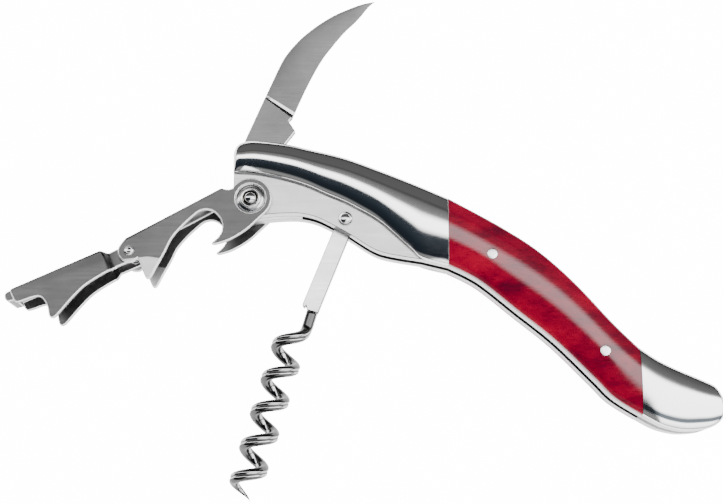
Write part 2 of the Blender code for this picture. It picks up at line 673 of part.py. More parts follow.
def stand_on_floor():
    """Move the whole object so that its box is centred over the origin and rests at height 0."""
    bpy.context.view_layer.update()
    graph = bpy.context.evaluated_depsgraph_get()
    corners = []
    for made in parts.objects:
        if made.type in {"MESH", "CURVE"}:
            seen = made.evaluated_get(graph)
            mesh = seen.to_mesh()
            corners += [seen.matrix_world @ vertex.co for vertex in mesh.vertices]
            seen.to_mesh_clear()
    low = Vector(min(c[i] for c in corners) for i in range(3))
    high = Vector(max(c[i] for c in corners) for i in range(3))
    root.location = (-(low.x + high.x) / 2, -(low.y + high.y) / 2, -low.z)


clear_scene()
parts = add_collection("lever_corkscrew")
cutters = add_collection("cutters")
looks = {
    "liner": steel("liner_steel", 0.72, 0.3),
    "bolster": steel("bolster_steel", 0.75, 0.06),
    "scale": material("scale_bone", (0.42, 0.008, 0.022), 0.18, 0.0),
    "spring": steel("spring_steel", 0.5, 0.35),
    "pin": steel("pin_steel", 0.78, 0.12),
    "bush": material("bush_brass", (0.75, 0.55, 0.25), 0.3, 1.0),
    "blade": steel("blade_steel", 0.5, 0.28),
    "lever": steel("lever_steel", 0.3, 0.32),
    "shank": steel("shank_steel", 0.75, 0.3),
    "worm": steel("worm_steel", 0.6, 0.12),
}
root = empty("corkscrew", None)
hub = empty("lever_hub", root)
handle = handle_edges()
build_liners(handle)
build_pads(handle)
build_spring(handle)
build_tail_spacer(handle)
build_front_spacer()
build_pins()
build_blade()
lever = build_upper_lever()
build_lower_lever(lever)
build_lever_rivets(lever)
build_worm()
stand_on_floor()
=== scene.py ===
import json
import math

import bmesh
import bpy
from mathutils import Matrix, Vector


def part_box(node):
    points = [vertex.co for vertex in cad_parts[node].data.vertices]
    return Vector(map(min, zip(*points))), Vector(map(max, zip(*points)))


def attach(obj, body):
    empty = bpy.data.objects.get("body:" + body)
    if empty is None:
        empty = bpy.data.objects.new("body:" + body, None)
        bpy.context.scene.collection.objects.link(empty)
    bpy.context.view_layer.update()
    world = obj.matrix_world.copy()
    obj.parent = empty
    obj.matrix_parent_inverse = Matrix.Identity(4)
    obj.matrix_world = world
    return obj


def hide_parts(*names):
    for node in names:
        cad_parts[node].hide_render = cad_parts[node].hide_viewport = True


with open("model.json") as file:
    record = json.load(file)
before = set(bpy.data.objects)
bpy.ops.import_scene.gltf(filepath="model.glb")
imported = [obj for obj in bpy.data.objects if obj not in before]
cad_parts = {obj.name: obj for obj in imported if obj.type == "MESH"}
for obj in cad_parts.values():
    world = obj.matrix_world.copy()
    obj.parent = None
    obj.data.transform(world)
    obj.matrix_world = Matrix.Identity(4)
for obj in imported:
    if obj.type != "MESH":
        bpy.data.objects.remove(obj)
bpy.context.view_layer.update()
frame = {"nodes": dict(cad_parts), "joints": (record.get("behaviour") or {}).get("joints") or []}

# Sizes are in millimetres in the design frame: the origin is on the lever's pivot, halfway through
# the handle, +X towards its tail and +Y to its back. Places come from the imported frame.
MM = 0.001
JOINTS = {joint["name"]: Vector(joint["pos_m"]) for joint in frame["joints"]}
ORIGIN = JOINTS["lever_swing"]
LEVER_ANGLE = 28.7
STEP_ANGLE = 24.4
BLADE_ANGLE = 67.0
WORM_ANGLE = -16.5


def level(node, side):
    """The highest (side 1) or lowest (side 0) level of a node, from the middle plane."""
    return (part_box(node)[side].z - ORIGIN.z) / MM


SLOT_FACE = level("left_liner", 0)
LINER_FACE = level("left_liner", 1)
PAD_BASE = level("left_scale", 0)
PAD_FACE = level("left_scale", 1)
LEVER_OUTER = level("upper_lever", 1)
LEVER_PLATE = 1.2
LEVER_INNER = LEVER_OUTER - LEVER_PLATE
FOLD_RADIUS = 0.7
PAD_WALL = 0.75
KNEE = (-28.4, 2.1)
KNEE_HOLE = 0.9
LEVER_WEB_TOP = 5.15
STEP_WEB_TOP = 2.8
# The second step's side plates end short of its lip, which is narrower.
STEP_END = -26.6
LIP_FACE = 4.0

# How finely round shapes are drawn.
RING_SIDES = 48
TURNED_SIDES = 64
PAD_STATIONS = 90
PAD_STEPS = 44
BLADE_STATIONS = 70

# The handle's edges: (share of the section's length, height).
BOLSTER_BACK = [(0.0, 10.6), (0.018, 12.2), (0.055, 13.0), (0.12, 13.1), (0.25, 12.4), (0.35, 11.3),
                (0.52, 9.3), (0.69, 6.3), (0.85, 3.2), (1.0, 0.1)]
SCALE_BACK = [(0.0, 0.1), (0.27, -6.0), (0.48, -11.6), (0.67, -18.6), (0.87, -27.6), (1.0, -32.9)]
REAR_BACK = [(0.0, -32.9), (0.19, -35.2), (0.37, -36.9), (0.55, -38.3), (0.75, -39.8),
             (0.9, -41.2), (0.985, -43.6)]
BOLSTER_EDGE = [(0.0, 6.1), (0.13, 5.6), (0.26, 4.2), (0.35, 2.8), (0.43, 1.1), (0.52, -0.7),
                (0.6, -2.7), (0.68, -5.0), (0.76, -8.3), (0.83, -11.3), (0.88, -13.3), (1.0, -14.8)]
LINER_EDGE = [(0.13, -3.5), (0.18, -3.2), (0.25, -3.0), (0.32, -3.1), (0.39, -3.9), (0.46, -5.5),
              (0.54, -7.6), (0.65, -10.9), (0.73, -12.2), (0.88, -13.4)]
SCALE_UNDER = [(0.0, -14.8), (0.16, -18.2), (0.36, -24.7), (0.56, -31.3), (0.76, -39.4),
               (0.86, -43.5), (1.0, -47.1)]
REAR_UNDER = [(0.0, -47.1), (0.14, -48.5), (0.27, -49.5), (0.44, -50.2), (0.6, -50.3), (0.78, -49.9),
              (0.9, -48.9), (0.97, -47.5), (1.0, -45.8)]

# Outlines in each piece's own frame, with its pivot at the origin. The lever's two steps lie along
# -X with their webs on top, and the blade lies along +X with its spine on top.
LEVER_NECK = [(-3.0, 4.0), (-3.5, 4.2), (-4.6, 5.05), (-4.85, LEVER_WEB_TOP)]
LEVER_UNDERSIDE = [(-27.6, -0.2), (-27.6, -1.3), (-27.8, -2.6), (-27.95, -4.9), (-27.5, -5.35),
                   (-26.8, -5.2), (-24.5, -3.6), (-21.8, -1.8), (-19.1, 0.2), (-16.0, 1.5),
                   (-13.2, 2.3)]
CROWN_NOTCH = [(-11.1, 2.7), (-9.4, 2.2), (-8.3, 0.9), (-7.9, -1.0), (-8.3, -2.6), (-9.2, -3.8),
               (-10.6, -4.5), (-12.0, -4.8)]
LEVER_CHIN = [(-12.1, -5.1), (-11.2, -5.6), (-8.3, -6.1), (-4.4, -5.9), (-1.2, -5.1), (0.96, -4.5)]
# The line above the claw's painted highlight.
CLAW_LINE = [(-27.45, 0.69), (-25.4, -0.9), (-22.4, -2.1)]
STEP_TOP = [(-4.4, 1.75), (-5.4, 2.4), (-6.0, STEP_WEB_TOP), (STEP_END + 0.35, STEP_WEB_TOP),
            (STEP_END, 2.45)]
STEP_UNDERSIDE = [(-5.0, -2.2), (-8.0, -2.5), (-11.7, -3.2), (-14.9, -4.5), (-18.1, -6.1),
                  (-19.7, -6.85), (-20.6, -6.8), (-20.9, -6.0), (-20.5, -3.9), (-20.75, -2.2),
                  (-21.4, -1.3), (-23.0, -0.9), (-24.7, -0.8), (-26.2, -0.5), (STEP_END, 0.4)]
LIP_END = [(-27.7, STEP_WEB_TOP), (-28.2, 2.4), (-28.4, 1.5), (-28.1, 0.7)]
BLADE_SPINE = [(15.2, 4.43), (21.9, 4.44), (25.2, 4.31), (28.4, 3.65), (32.15, 2.33), (35.9, 0.4),
               (39.4, -1.9), (42.4, -4.5), (44.7, -6.8), (46.6, -9.3)]
BLADE_EDGE = [(13.8, -3.15), (21.9, -3.2), (28.4, -3.7), (32.6, -4.6), (36.6, -5.7), (41.0, -7.4),
              (44.7, -8.4), (46.6, -9.3)]
TANG_TOP = (14.95, 4.43)
TANG_BOTTOM = (13.0, -3.1)
BLADE_HEEL = [(12.6, -2.95), (12.15, -2.7), (11.9, -2.9), (10.4, -5.1), (6.8, -4.2)]
SHANK_FOOT = [(-3.75, -20.4), (-3.2, -20.9), (-2.85, -20.4), (-2.45, -21.2), (0.1, -21.2)]

# The worm's helix: the first turn starts below the straight lead and eases in.
HELIX_AXIS = -3.9
HELIX_RADIUS = 2.65
HELIX_PITCH = 7.5
HELIX_TURNS = 4.92
HELIX_START = -21.3
WIRE_LEAD = 5.4
WIRE_EASE = 0.3
WIRE_RADIUS = 1.25
STEPS_PER_TURN = 56


# Small geometry tools

def smooth(points, steps=8):
    """The points of a Catmull-Rom curve through a list of points."""
    ends = [points[0], *points, points[-1]]
    made = []
    for a, b, c, d in zip(ends, ends[1:], ends[2:], ends[3:]):
        for step in range(steps):
            t = step / steps
            made.append(tuple(
                0.5 * (2 * q + (r - p) * t + (2 * p - 5 * q + 4 * r - s) * t * t
                       + (3 * q - p - 3 * r + s) * t ** 3)
                for p, q, r, s in zip(a, b, c, d)))
    made.append(points[-1])
    return made


def arc(centre, radius, start, end, sides):
    made = []
    for step in range(sides + 1):
        angle = math.radians(start + (end - start) * step / sides)
        made.append((centre[0] + radius * math.cos(angle), centre[1] + radius * math.sin(angle)))
    return made


def ring(centre, radius):
    return arc(centre, radius, 0, 360 - 360 / RING_SIDES, RING_SIDES - 1)


def at_share(points, share):
    """The point at a share of a polyline's length."""
    lengths = [math.dist(a, b) for a, b in zip(points, points[1:])]
    left = share * sum(lengths)
    for (a, b), length in zip(zip(points, points[1:]), lengths):
        if left <= length:
            t = left / length if length else 0.0
            return tuple(p + (q - p) * t for p, q in zip(a, b))
        left -= length
    return points[-1]


def eased(step, steps):
    """A share from 0 to 1, in steps that are short near both ends."""
    return 0.5 - 0.5 * math.cos(math.pi * step / steps)


def placement(pivot, angle):
    """The place of a piece drawn about its own pivot."""
    return Matrix.Translation(pivot) @ Matrix.Rotation(math.radians(angle), 4, "Z")


def new_object(name, body, looks, place):
    """A mesh object from a bmesh in millimetres, put in its place."""
    mesh = bpy.data.meshes.new(name)
    bmesh.ops.recalc_face_normals(body, faces=body.faces)
    body.to_mesh(mesh)
    body.free()
    mesh.transform(place @ Matrix.Scale(MM, 4))
    for look in looks:
        mesh.materials.append(look)
    made = bpy.data.objects.new(name, mesh)
    bpy.context.scene.collection.objects.link(made)
    mesh.shade_smooth()
    return made


def finish_piece(piece, body, node):
    """Let a piece stand in for a CAD node, which is hidden, and put it on its body."""
    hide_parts(node)
    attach(piece, body)


def plate_mesh(outlines, low, high):
    """A bmesh plate between two levels. The first outline is its edge and the others are holes."""
    curve = bpy.data.curves.new("outline", "CURVE")
    curve.dimensions = "2D"
    curve.fill_mode = "BOTH"
    curve.extrude = (high - low) / 2
    for outline in outlines:
        spline = curve.splines.new("POLY")
        spline.points.add(len(outline) - 1)
        spline.use_cyclic_u = True
        for point, (x, y) in zip(spline.points, outline):
            point.co = (x, y, 0.0, 1.0)
    holder = bpy.data.objects.new("outline", curve)
    bpy.context.scene.collection.objects.link(holder)
    seen = holder.evaluated_get(bpy.context.evaluated_depsgraph_get())
    mesh = bpy.data.meshes.new_from_object(seen)
    body = bmesh.new()
    body.from_mesh(mesh)
    bmesh.ops.translate(body, verts=body.verts, vec=(0.0, 0.0, (low + high) / 2))
    bmesh.ops.remove_doubles(body, verts=body.verts, dist=1e-4)
    bmesh.ops.recalc_face_normals(body, faces=body.faces)
    flat = [edge for edge in body.edges
            if all(abs(face.normal.z) > 0.99 for face in edge.link_faces)]
    bmesh.ops.dissolve_limit(body, angle_limit=math.radians(1), verts=[], edges=flat)
    bpy.data.objects.remove(holder, do_unlink=True)
    bpy.data.meshes.remove(mesh)
    return body


def round_edges(piece, width, segments=3, angle=35.0, rim=False):
    """A Bevel modifier on the sharp edges. A rim has its full width everywhere and the piece's
    second material."""
    bevel = piece.modifiers.new("edges", "BEVEL")
    bevel.width = width * MM
    bevel.segments = segments
    bevel.limit_method = "ANGLE"
    bevel.angle_limit = math.radians(angle)
    bevel.harden_normals = True
    bevel.use_clamp_overlap = not rim
    bevel.material = 1 if rim else -1


def turned(name, profile, look, place):
    """A turned solid from a profile of (radius, level), from the top of its axis to the bottom."""
    sides = TURNED_SIDES
    body = bmesh.new()
    rows = []
    for radius, height in profile:
        if radius == 0.0:
            rows.append([body.verts.new((0.0, 0.0, height))])
            continue
        rows.append([body.verts.new((radius * math.cos(2 * math.pi * i / sides),
                                     radius * math.sin(2 * math.pi * i / sides), height))
                     for i in range(sides)])
    for upper, lower in zip(rows, rows[1:]):
        for i in range(sides):
            j = (i + 1) % sides
            corners = [upper[i % len(upper)], upper[j % len(upper)], lower[j % len(lower)],
                       lower[i % len(lower)]]
            unique = list(dict.fromkeys(corners))
            if len(unique) > 2:
                body.faces.new(unique)
    made = new_object(name, body, [look], place)
    made.data.set_sharp_from_angle(angle=math.radians(50))
    return made


# Materials

# How soft the edge of a painted highlight's patch is, in metres.
SOFT_EDGE = 0.0002
CLOUDINESS = 0.12
BONE_GRAIN = 38.0


class Nodes:
    """A material's node tree, with short calls to add nodes and join them."""

    def __init__(self, name):
        self.material = bpy.data.materials.new(name)
        self.material.use_nodes = True
        self.tree = self.material.node_tree
        self.shader = self.tree.nodes["Principled BSDF"]

    def add(self, kind, **values):
        node = self.tree.nodes.new(kind)
        for key, value in values.items():
            setattr(node, key, value)
        return node

    def link(self, source, target):
        self.tree.links.new(source, target)

    def place(self, stretch=(1.0, 1.0, 1.0), turn=0.0):
        """Object coordinates, turned about Z and stretched."""
        coordinates = self.add("ShaderNodeTexCoord")
        mapping = self.add("ShaderNodeMapping")
        mapping.inputs["Rotation"].default_value = (0.0, 0.0, math.radians(turn))
        mapping.inputs["Scale"].default_value = stretch
        self.link(coordinates.outputs["Object"], mapping.inputs["Vector"])
        return mapping.outputs["Vector"]

    def noise(self, vector, scale, detail=3.0, roughness=0.5):
        noise = self.add("ShaderNodeTexNoise")
        noise.inputs["Scale"].default_value = scale
        noise.inputs["Detail"].default_value = detail
        noise.inputs["Roughness"].default_value = roughness
        self.link(vector, noise.inputs["Vector"])
        return noise.outputs["Fac"]

    def ramp(self, source, stops):
        ramp = self.add("ShaderNodeValToRGB")
        first, *rest = stops
        ramp.color_ramp.elements[0].position = first[0]
        ramp.color_ramp.elements[0].color = (*first[1], 1.0)
        ramp.color_ramp.elements[1].position = rest[-1][0]
        ramp.color_ramp.elements[1].color = (*rest[-1][1], 1.0)
        for position, colour in rest[:-1]:
            ramp.color_ramp.elements.new(position).color = (*colour, 1.0)
        self.link(source, ramp.inputs["Fac"])
        return ramp.outputs["Color"]

    def span(self, source, low, high):
        """A 0 to 1 value mapped onto low to high."""
        mapped = self.add("ShaderNodeMapRange")
        mapped.inputs["To Min"].default_value = low
        mapped.inputs["To Max"].default_value = high
        self.link(source, mapped.inputs["Value"])
        return mapped.outputs["Result"]

    def inside(self, vector, planes):
        """1 where a place is on the side that every plane's normal points to."""
        result = None
        for place, normal in planes:
            along = self.add("ShaderNodeVectorMath", operation="DOT_PRODUCT")
            self.link(vector, along.inputs[0])
            along.inputs[1].default_value = normal
            edge = self.add("ShaderNodeMapRange")
            edge.inputs["From Min"].default_value = place.dot(normal)
            edge.inputs["From Max"].default_value = place.dot(normal) + SOFT_EDGE
            self.link(along.outputs["Value"], edge.inputs["Value"])
            if result:
                both = self.add("ShaderNodeMath", operation="MULTIPLY")
                self.link(result, both.inputs[0])
                self.link(edge.outputs["Result"], both.inputs[1])
                result = both.outputs[0]
            else:
                result = edge.outputs["Result"]
        return result

    def bump(self, height, strength, distance, before=None):
        bump = self.add("ShaderNodeBump")
        bump.inputs["Strength"].default_value = strength
        bump.inputs["Distance"].default_value = distance
        self.link(height, bump.inputs["Height"])
        if before:
            self.link(before, bump.inputs["Normal"])
        return bump.outputs["Normal"]


def brushed_steel(name, grey, roughness, turn=0.0, strength=0.12, painted_highlight_patch=None):
    """Satin steel with fine brush lines along one direction and soft cloudy wear. The last argument, if
    given, is a patch painted brighter as a highlight: its grey, and the places and normals of the
    planes round it."""
    nodes = Nodes(name)
    lines = nodes.noise(nodes.place((0.03, 1.0, 0.4), -turn), 3500.0, 2.0, 0.6)
    clouds = nodes.noise(nodes.place(), 140.0, 4.0, 0.55)
    low, high = grey * (1 - CLOUDINESS), min(1.0, grey * (1 + CLOUDINESS))
    colour = nodes.ramp(clouds, [(0.25, (low, low, low)), (0.75, (high, high, high))])
    # A patch of the base colour painted brighter, as a highlight, inside the planes.
    if painted_highlight_patch:
        bright, planes = painted_highlight_patch
        inside = nodes.inside(nodes.place(), planes)
        blend = nodes.add("ShaderNodeMix", data_type="RGBA")
        nodes.link(inside, blend.inputs["Factor"])
        nodes.link(colour, blend.inputs["A"])
        blend.inputs["B"].default_value = (bright, bright, bright, 1.0)
        colour = blend.outputs["Result"]
    nodes.link(colour, nodes.shader.inputs["Base Color"])
    nodes.shader.inputs["Metallic"].default_value = 1.0
    nodes.link(nodes.span(lines, roughness * 0.7, roughness * 1.35), nodes.shader.inputs["Roughness"])
    nodes.link(nodes.bump(lines, strength, 0.00002), nodes.shader.inputs["Normal"])
    return nodes.material


def polished_steel(name, grey, roughness):
    """Mirror-polished steel with faint haze from handling."""
    nodes = Nodes(name)
    haze = nodes.noise(nodes.place(), 260.0, 5.0, 0.6)
    nodes.shader.inputs["Metallic"].default_value = 1.0
    nodes.shader.inputs["Base Color"].default_value = (grey, grey, grey, 1.0)
    nodes.link(nodes.span(haze, roughness * 0.6, roughness * 1.6), nodes.shader.inputs["Roughness"])
    scratches = nodes.noise(nodes.place((0.15, 1.0, 1.0), 30.0), 5200.0, 2.0, 0.7)
    nodes.link(nodes.bump(scratches, 0.025, 0.00002), nodes.shader.inputs["Normal"])
    return nodes.material


def brass(name):
    nodes = Nodes(name)
    tarnish = nodes.noise(nodes.place(), 900.0, 4.0)
    colour = nodes.ramp(tarnish, [(0.3, (0.42, 0.28, 0.09)), (0.7, (0.72, 0.5, 0.2))])
    nodes.link(colour, nodes.shader.inputs["Base Color"])
    nodes.shader.inputs["Metallic"].default_value = 1.0
    nodes.shader.inputs["Roughness"].default_value = 0.35
    return nodes.material


def red_bone(name):
    """Polished bone dyed crimson: mottled with maroon along the grain, with fine pores."""
    nodes = Nodes(name)
    large = nodes.noise(nodes.place((0.35, 1.0, 1.0), BONE_GRAIN), 95.0, 5.0, 0.62)
    small = nodes.noise(nodes.place((0.5, 1.0, 1.0), BONE_GRAIN), 520.0, 4.0, 0.6)
    mixed = nodes.add("ShaderNodeMath", operation="MULTIPLY_ADD")
    nodes.link(small, mixed.inputs[0])
    mixed.inputs[1].default_value = 0.3
    nodes.link(large, mixed.inputs[2])
    dye = nodes.ramp(mixed.outputs[0], [(0.44, (0.07, 0.001, 0.013)), (0.57, (0.17, 0.001, 0.016)),
                                        (0.72, (0.31, 0.001, 0.021)), (0.9, (0.42, 0.003, 0.028))])
    pores = nodes.noise(nodes.place((0.12, 1.0, 1.0), BONE_GRAIN), 2400.0, 2.0, 0.5)
    dark = nodes.ramp(pores, [(0.28, (0.35, 0.35, 0.35)), (0.4, (1.0, 1.0, 1.0))])
    blend = nodes.add("ShaderNodeMix", data_type="RGBA", blend_type="MULTIPLY")
    blend.inputs["Factor"].default_value = 0.6
    nodes.link(dye, blend.inputs["A"])
    nodes.link(dark, blend.inputs["B"])
    nodes.link(blend.outputs["Result"], nodes.shader.inputs["Base Color"])
    nodes.shader.inputs["Specular IOR Level"].default_value = 0.5
    nodes.link(nodes.span(small, 0.04, 0.09), nodes.shader.inputs["Roughness"])
    nodes.shader.inputs["Coat Weight"].default_value = 0.4
    nodes.shader.inputs["Coat Roughness"].default_value = 0.04
    nodes.shader.inputs["Subsurface Weight"].default_value = 0.06
    nodes.shader.inputs["Subsurface Radius"].default_value = (0.002, 0.0004, 0.0003)
    nodes.shader.inputs["Subsurface Scale"].default_value = 0.5
    first = nodes.bump(large, 0.05, 0.0004)
    nodes.link(nodes.bump(pores, 0.10, 0.00005, first), nodes.shader.inputs["Normal"])
    return nodes.material


# Handle

def section(node):
    """Where a section of the handle starts, and its length."""
    low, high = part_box(node)
    return (low.x - ORIGIN.x) / MM, (high.x - low.x) / MM


def line_of(node, outline):
    """An edge of the handle along one section's length."""
    start, length = section(node)
    return smooth([(start + share * length, height) for share, height in outline])


def pad_profile():
    """The places across a pad, as shares of its width, with the swell at each: close together
    near the edges, where it curves most."""
    made = []
    for step in range(PAD_STEPS + 1):
        across = eased(step, PAD_STEPS)
        made.append((across, math.sqrt(max(0.0, 1 - (2 * across - 1) ** 2))))
    return made


def end_rise(along, round_ends):
    """The share of the swell at a share of a pad's length, falling off over its round ends."""
    start, end = round_ends
    rise = 1.0
    if start and along < start:
        rise = min(rise, math.sqrt(1 - (1 - along / start) ** 2))
    if end and along > 1 - end:
        rise = min(rise, math.sqrt(max(0.0, 1 - ((along - 1 + end) / end) ** 2)))
    return rise


def pad(node, back, under, side, look, round_ends=(0.0, 0.0), holes=()):
    """A crowned pad on one side of the handle, lofted between its back edge and its under edge."""
    profile = pad_profile()
    body = bmesh.new()
    rows = []
    for station in range(PAD_STATIONS + 1):
        along = eased(station, PAD_STATIONS)
        top, bottom = at_share(back, along), at_share(under, along)
        rise = end_rise(along, round_ends)
        row = []
        for across, swell in profile:
            x, y = (b + (t - b) * across for t, b in zip(top, bottom))
            height = PAD_BASE + PAD_WALL + (PAD_FACE - PAD_BASE - PAD_WALL) * swell * rise
            row.append(body.verts.new((x, y, side * height)))
        rows.append(row)
    for first, second in zip(rows, rows[1:]):
        for a, b, c, d in zip(first, first[1:], second[1:], second):
            body.faces.new((a, b, c, d))
    rim = rows[0] + [row[-1] for row in rows[1:]] + rows[-1][-2::-1] + [r[0] for r in rows[-2:0:-1]]
    base = [body.verts.new((v.co.x, v.co.y, side * PAD_BASE)) for v in rim]
    for i, vertex in enumerate(rim):
        after = (i + 1) % len(rim)
        body.faces.new((vertex, rim[after], base[after], base[i]))
    body.faces.new(base)
    made = new_object(node + "_shell", body, [look], Matrix.Translation(ORIGIN))
    for index, (place, radius) in enumerate(holes):
        drill = [(0.0, 9.0), (radius, 9.0), (radius, -9.0), (0.0, -9.0)]
        cutter = turned(f"{node}_hole_{index}", drill, look,
                        Matrix.Translation(ORIGIN + Vector((place[0], place[1], 0.0)) * MM))
        cut(made, cutter)
    round_edges(made, 0.09, 2, 38.0)
    finish_piece(made, "handle", node)
    return made


def cut(target, tool, operation="DIFFERENCE"):
    """Cut a tool's shape out of a piece, or join it on, and remove the tool."""
    boolean = target.modifiers.new("cut", "BOOLEAN")
    boolean.operation = operation
    boolean.solver = "EXACT"
    boolean.object = tool
    bpy.context.view_layer.update()
    seen = target.evaluated_get(bpy.context.evaluated_depsgraph_get())
    mesh = bpy.data.meshes.new_from_object(seen)
    target.modifiers.remove(boolean)
    old = target.data
    target.data = mesh
    bpy.data.meshes.remove(old)
    bpy.data.objects.remove(tool, do_unlink=True)


def centre_of(node):
    """The place of a pin's axis and its largest radius."""
    low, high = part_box(node)
    middle = ((low + high) / 2 - ORIGIN) / MM
    return middle.x, middle.y, (high.x - low.x) / 2 / MM


def build_pads():
    kinds = {"front_bolster": ((BOLSTER_BACK, BOLSTER_EDGE), looks["bolster"], "bolster", (0.05, 0.0)),
             "scale": ((SCALE_BACK, SCALE_UNDER), looks["scale"], "scale", (0.0, 0.0)),
             "rear_bolster": ((REAR_BACK, REAR_UNDER), looks["bolster"], "bolster", (0.0, 0.42))}
    pins = [centre_of("scale_pin_front"), centre_of("scale_pin_rear")]
    for label, (lines, look, slot, round_ends) in kinds.items():
        for prefix, side in (("left_", 1), ("right_", -1)):
            node = prefix + label
            back, under = (line_of(node, line) for line in lines)
            holes = [((x, y), radius + 0.06) for x, y, radius in pins] if label == "scale" else ()
            pad(node, back, under, side, look, round_ends, holes)


def build_liners():
    back = (line_of("left_front_bolster", BOLSTER_BACK) + line_of("left_scale", SCALE_BACK)
            + line_of("left_rear_bolster", REAR_BACK))
    under = (line_of("left_front_bolster", LINER_EDGE) + line_of("left_scale", SCALE_UNDER)
             + line_of("left_rear_bolster", REAR_UNDER))
    front = arc((0.0, 0.0), -section("left_liner")[0], 180, 290, 24)
    outline = back + under[::-1] + front[::-1]
    worm = centre_of("worm_rivet")
    holes = [ring((0.0, 0.0), 2.4), ring(worm[:2], 1.1)]
    for node, low, high in (("left_liner", SLOT_FACE, LINER_FACE),
                            ("right_liner", -LINER_FACE, -SLOT_FACE)):
        body = plate_mesh([outline, *holes], low, high)
        # Its rims get painted shade, and so do its faces in the slot.
        made = new_object(node + "_plate", body, [looks["liner"], looks["outline"], looks["slot"]],
                          Matrix.Translation(ORIGIN))
        for face in made.data.polygons:
            if abs(abs(face.center.z - ORIGIN.z) / MM - SLOT_FACE) < 0.01:
                face.material_index = 2
        round_edges(made, 0.12, rim=True)
        finish_piece(made, "handle", node)


def dome(radius, base, height, steps=10):
    """The profile of a dome from its top down to its base."""
    angles = [math.pi / 2 * i / steps for i in range(steps + 1)]
    return [(radius * math.sin(angle), base + height * math.cos(angle)) for angle in angles]


def both_sides(top):
    """A profile from top to middle, and its mirror below."""
    return top + [(radius, -height) for radius, height in reversed(top)]


def build_pins():
    for node in ("scale_pin_front", "scale_pin_rear"):
        x, y, radius = centre_of(node)
        place = Matrix.Translation(ORIGIN + Vector((x, y, 0.0)) * MM)
        made = turned(node + "_rod", both_sides(dome(radius, PAD_FACE - 0.1, 0.1)), looks["pin"], place)
        finish_piece(made, "handle", node)
    x, y, radius = centre_of("worm_rivet")
    place = Matrix.Translation(ORIGIN + Vector((x, y, 0.0)) * MM)
    seat = LINER_FACE + 0.02
    head = dome(radius * 0.62, seat + 0.22, 0.26, 8)
    head += [(radius * 0.7, seat + 0.16), (radius * 0.78, seat + 0.2), (radius * 0.9, seat + 0.26),
             (radius * 0.98, seat + 0.16), (radius, seat), (1.0, seat)]
    made = turned("worm_rivet_body", both_sides(head), looks["rivet"], place)
    finish_piece(made, "handle", "worm_rivet")


# Blade

def blade_section(top, bottom, depth_at):
    """The places across one section of the blade, from its spine down, with the half thickness."""
    downs = [0.0, 0.03] + [0.03 + 0.97 * step / 13 for step in range(1, 14)]
    return [tuple(t + (b - t) * down for t, b in zip(top, bottom)) + (depth_at(down),) for down in downs]


def grind_depth(down):
    """The grind's share of the full thickness, at a share of the way from spine to edge."""
    return 0.7 if down == 0 else 0.94 - 0.05 * down - 0.62 * down ** 1.6


def build_blade():
    place = placement(JOINTS["blade_fold"], BLADE_ANGLE)
    half = (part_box("foil_blade")[1].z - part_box("foil_blade")[0].z) / 2 / MM
    spine, edge = smooth(BLADE_SPINE, 10), smooth(BLADE_EDGE, 10)
    # The ramp from the full thickness down to the grind, a line with a painted highlight, and the grind.
    sections = [blade_section(TANG_TOP, TANG_BOTTOM, lambda down: half * (0.78 if down == 0 else 0.99))]
    line_end = 0.022
    shares = [0.0, line_end] + [step / BLADE_STATIONS for step in range(3, BLADE_STATIONS + 1)]
    for share in shares:
        taper = 1 - share ** 6 * 0.9
        narrow = 0.6 if share == line_end else 1.0
        sections.append(blade_section(
            at_share(spine, share * narrow), at_share(edge, share),
            lambda down: max(0.05, grind_depth(down) * half * taper)))
    body = bmesh.new()
    rows = {side: [[body.verts.new((x, y, side * depth)) for x, y, depth in section]
                   for section in sections] for side in (1, -1)}
    for side in (1, -1):
        for index, (first, second) in enumerate(zip(rows[side], rows[side][1:])):
            for a, b, c, d in zip(first, first[1:], second[1:], second):
                body.faces.new((a, b, c, d)).material_index = 1 if index == 1 else 0
    left, right = rows[1], rows[-1]
    rim = [left[0], [row[-1] for row in left], left[-1][::-1], [row[0] for row in left[::-1]]]
    other = [right[0], [row[-1] for row in right], right[-1][::-1], [row[0] for row in right[::-1]]]
    for near, far in zip(rim, other):
        for a, b, c, d in zip(near, near[1:], far[1:], far):
            body.faces.new((a, b, c, d))
    # The plunge line's band of faces gets a painted highlight.
    made = new_object("blade_grind", body, [looks["blade"], looks["plunge"]], place)
    made.data.set_sharp_from_angle(angle=math.radians(12))
    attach(made, "blade")
    tang = arc((0.0, 0.0), 3.5, 250, 112, 24)
    outline = [(4.1, 4.4), TANG_TOP, TANG_BOTTOM, *BLADE_HEEL, *tang]
    body = plate_mesh([outline, ring((0.0, 0.0), 1.3)], -half, half)
    # Its rims get a painted highlight.
    made = new_object("blade_tang", body, [looks["tang"], looks["edge"]], place)
    round_edges(made, 0.14, 2, rim=True)
    finish_piece(made, "blade", "foil_blade")


# Lever

def channel(name, outline, holes, web_span, web_top, place, look):
    """A folded channel: two plates with one outline, joined by a web along their top edge, with
    the fold's outer side rounded."""
    # The second material paints a highlight along the rims.
    made = new_object(name, plate_mesh([outline, *holes], -LEVER_OUTER, LEVER_OUTER),
                      [look, looks["rim"]], place)
    start, end = web_span
    far = 90.0
    web_under = web_top - LEVER_PLATE
    inner = [(-far, -far), (far, -far), (far, far), (start, far), (start, web_under),
             (end, web_under), (end, far), (-far, far)]
    tool = new_object(name + "_inside", plate_mesh([inner], -LEVER_INNER, LEVER_INNER),
                      [look], place)
    cut(made, tool)
    body = bmesh.new()
    body.from_mesh(made.data)
    bmesh.ops.remove_doubles(body, verts=body.verts, dist=0.03 * MM)
    inverse = place.inverted()
    folds = []
    for edge in body.edges:
        ends = [(inverse @ vertex.co) / MM for vertex in edge.verts]
        along = abs(ends[0].x - ends[1].x) > 5.0
        if along and all(abs(e.y - web_top) < 0.01 and abs(e.z) > LEVER_OUTER - 0.01 for e in ends):
            folds.append(edge)
    bmesh.ops.bevel(body, geom=folds, offset=FOLD_RADIUS * MM, offset_type="OFFSET", segments=6,
                    profile=0.5, affect="EDGES")
    body.to_mesh(made.data)
    body.free()
    return made


